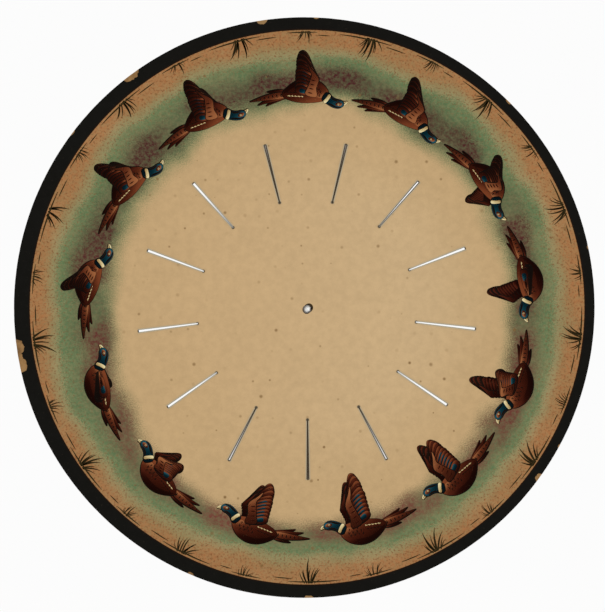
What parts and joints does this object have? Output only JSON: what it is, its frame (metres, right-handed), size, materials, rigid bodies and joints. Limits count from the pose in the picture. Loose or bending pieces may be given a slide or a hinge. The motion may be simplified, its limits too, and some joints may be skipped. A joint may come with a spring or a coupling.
{
  "type": "phenakistiscope",
  "caption": "Round pasteboard picture disc with a ring of viewing slits, spinning freely on a spindle at the end of a short turned wooden handle.",
  "frame": {"origin": "on the spindle axis, at the centre of the flat end of the handle", "axes": "+Z along the spindle, out of the printed face; +Y towards the top of the disc as pictured, opposite its first slit"},
  "size_m": [0.23, 0.23, 0.1173],
  "materials": {
    "printed_paper": "matte, printed in colour",
    "pasteboard": "raw cut edge",
    "lining_paper": "matte",
    "turned_wood": "stained and french polished",
    "brass": "lacquered, slightly dulled",
    "bright_steel": "drawn and polished"
  },
  "bodies": {
    "handle": {"handle_grip": "turned_wood", "ferrule": "brass", "ferrule_brads": "brass", "spindle": "bright_steel", "thrust_washer": "brass", "retaining_collar": "brass", "collar_pin": "bright_steel"},
    "disc": {"face_print": "printed_paper", "card_core": "pasteboard", "back_lining": "lining_paper", "hub_boss": "turned_wood", "hub_bush": "brass"}
  },
  "joints": [
    {"name": "disc_spin", "type": "hinge", "parent": "handle", "child": "disc", "pos_m": [0, 0, 0.107], "axis": [0, 0, 1], "continuous": true}
  ]
}
